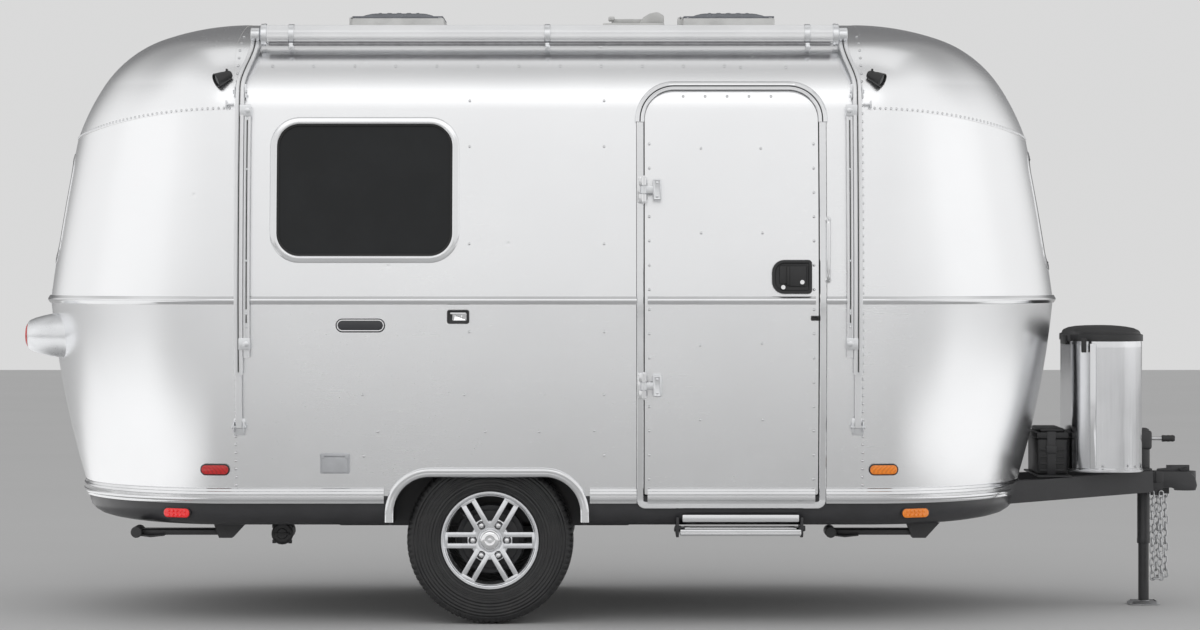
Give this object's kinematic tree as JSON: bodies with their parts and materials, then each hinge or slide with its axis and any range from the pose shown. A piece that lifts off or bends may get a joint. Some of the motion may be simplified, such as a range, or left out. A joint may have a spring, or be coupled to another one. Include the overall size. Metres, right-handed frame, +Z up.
{
  "type": "travel caravan",
  "caption": "Single-axle riveted aluminium travel caravan with rounded ends, side door, roll-up awning, A-frame tongue, gas cover, jack and folding corner stabilisers.",
  "frame": {"origin": "on the ground, at the middle of the outline", "axes": "+X forward to the hitch coupler, +Y to the road side (the door is on -Y), +Z up"},
  "size_m": [5.13, 2.305, 2.6285],
  "materials": {
    "skin": "bright rolled sheet",
    "trim": "satin extrusion",
    "floor": "plywood deck",
    "pan": "satin charcoal",
    "frame_paint": "black enamel",
    "glass": "dark tinted",
    "awning": "rolled vinyl",
    "awning_metal": "white powder coat",
    "black_plastic": "fine grain",
    "lamp_shell": "polished",
    "red_lens": "moulded lens",
    "amber_lens": "moulded lens",
    "hatch": "grey moulding",
    "vent": "white moulding",
    "gas_cover": "polished sheet",
    "chain": "zinc plated",
    "tyre": "black rubber",
    "alloy": "cast and machined"
  },
  "bodies": {
    "caravan": {"side_wall_curb": "skin", "side_wall_road": "skin", "roof_panel": "skin", "front_wrap": "skin", "front_dome": "skin", "rear_wrap": "skin", "rear_dome": "skin", "floor_deck": "floor", "belly_pan": "pan", "chassis_curb": "frame_paint", "chassis_road": "frame_paint", "wheel_tubs": "pan", "belt_rail": "trim", "base_rail": "trim", "arch_trims": "trim", "door_frame": "trim", "window_frames": "trim", "window_glass": "glass", "awning_roll": "awning", "awning_arm_front": "awning_metal", "awning_arm_rear": "awning_metal", "flood_lamps": "black_plastic", "tail_lamp_housings": "lamp_shell", "lamps_red": "red_lens", "lamps_amber": "amber_lens", "service_hatches": "hatch", "door_catch": "black_plastic", "name_plate": "black_plastic", "grab_handle": "trim", "roof_vent_bases": "vent", "roof_aerial": "vent", "coupler": "frame_paint", "jack_post": "frame_paint", "gas_cover": "gas_cover", "gas_cover_lid": "black_plastic", "battery_box": "black_plastic", "safety_chains": "chain", "axle": "frame_paint", "stabiliser_mounts": "frame_paint", "entry_step": "trim", "drain_outlet": "black_plastic"},
    "wheel_curb": {"tyre_curb": "tyre", "rim_curb": "alloy"},
    "wheel_road": {"tyre_road": "tyre", "rim_road": "alloy"},
    "door": {"door_panel": "skin", "door_trim": "trim", "door_lock": "black_plastic"},
    "jack": {"jack_leg": "frame_paint"},
    "stabiliser_rear_curb": {"leg_rear_curb": "frame_paint"},
    "stabiliser_rear_road": {"leg_rear_road": "frame_paint"},
    "stabiliser_front_curb": {"leg_front_curb": "frame_paint"},
    "stabiliser_front_road": {"leg_front_road": "frame_paint"},
    "roof_vent_rear": {"vent_lid_rear": "vent"},
    "roof_vent_front": {"vent_lid_front": "vent"}
  },
  "joints": [
    {"name": "wheel_curb_spin", "type": "hinge", "parent": "caravan", "child": "wheel_curb", "pos_m": [-0.539, -0.878, 0.35], "axis": [0, 1, 0], "continuous": true},
    {"name": "wheel_road_spin", "type": "hinge", "parent": "caravan", "child": "wheel_road", "pos_m": [-0.539, 0.918, 0.35], "axis": [0, 1, 0], "continuous": true},
    {"name": "door_swing", "type": "hinge", "parent": "caravan", "child": "door", "pos_m": [0.105, -1.122, 1.4], "axis": [0, 0, -1], "range_deg": [0, 165]},
    {"name": "jack_slide", "type": "slide", "parent": "caravan", "child": "jack", "axis": [0, 0, 1], "range_m": [0, 0.25]},
    {"name": "stabiliser_rear_curb_swing", "type": "hinge", "parent": "caravan", "child": "stabiliser_rear_curb", "pos_m": [-1.661, -0.78, 0.376], "axis": [0, -1, 0], "range_deg": [0, 70]},
    {"name": "stabiliser_rear_road_swing", "type": "hinge", "parent": "caravan", "child": "stabiliser_rear_road", "pos_m": [-1.661, 0.82, 0.376], "axis": [0, -1, 0], "range_deg": [0, 70]},
    {"name": "stabiliser_front_curb_swing", "type": "hinge", "parent": "caravan", "child": "stabiliser_front_curb", "pos_m": [1.267, -0.78, 0.376], "axis": [0, -1, 0], "range_deg": [0, 70]},
    {"name": "stabiliser_front_road_swing", "type": "hinge", "parent": "caravan", "child": "stabiliser_front_road", "pos_m": [1.267, 0.82, 0.376], "axis": [0, -1, 0], "range_deg": [0, 70]},
    {"name": "roof_vent_rear_tilt", "type": "hinge", "parent": "caravan", "child": "roof_vent_rear", "pos_m": [-1.174, 0.02, 2.594], "axis": [0, -1, 0], "range_deg": [0, 70]},
    {"name": "roof_vent_front_tilt", "type": "hinge", "parent": "caravan", "child": "roof_vent_front", "pos_m": [0.278, 0.02, 2.594], "axis": [0, -1, 0], "range_deg": [0, 70]}
  ]
}
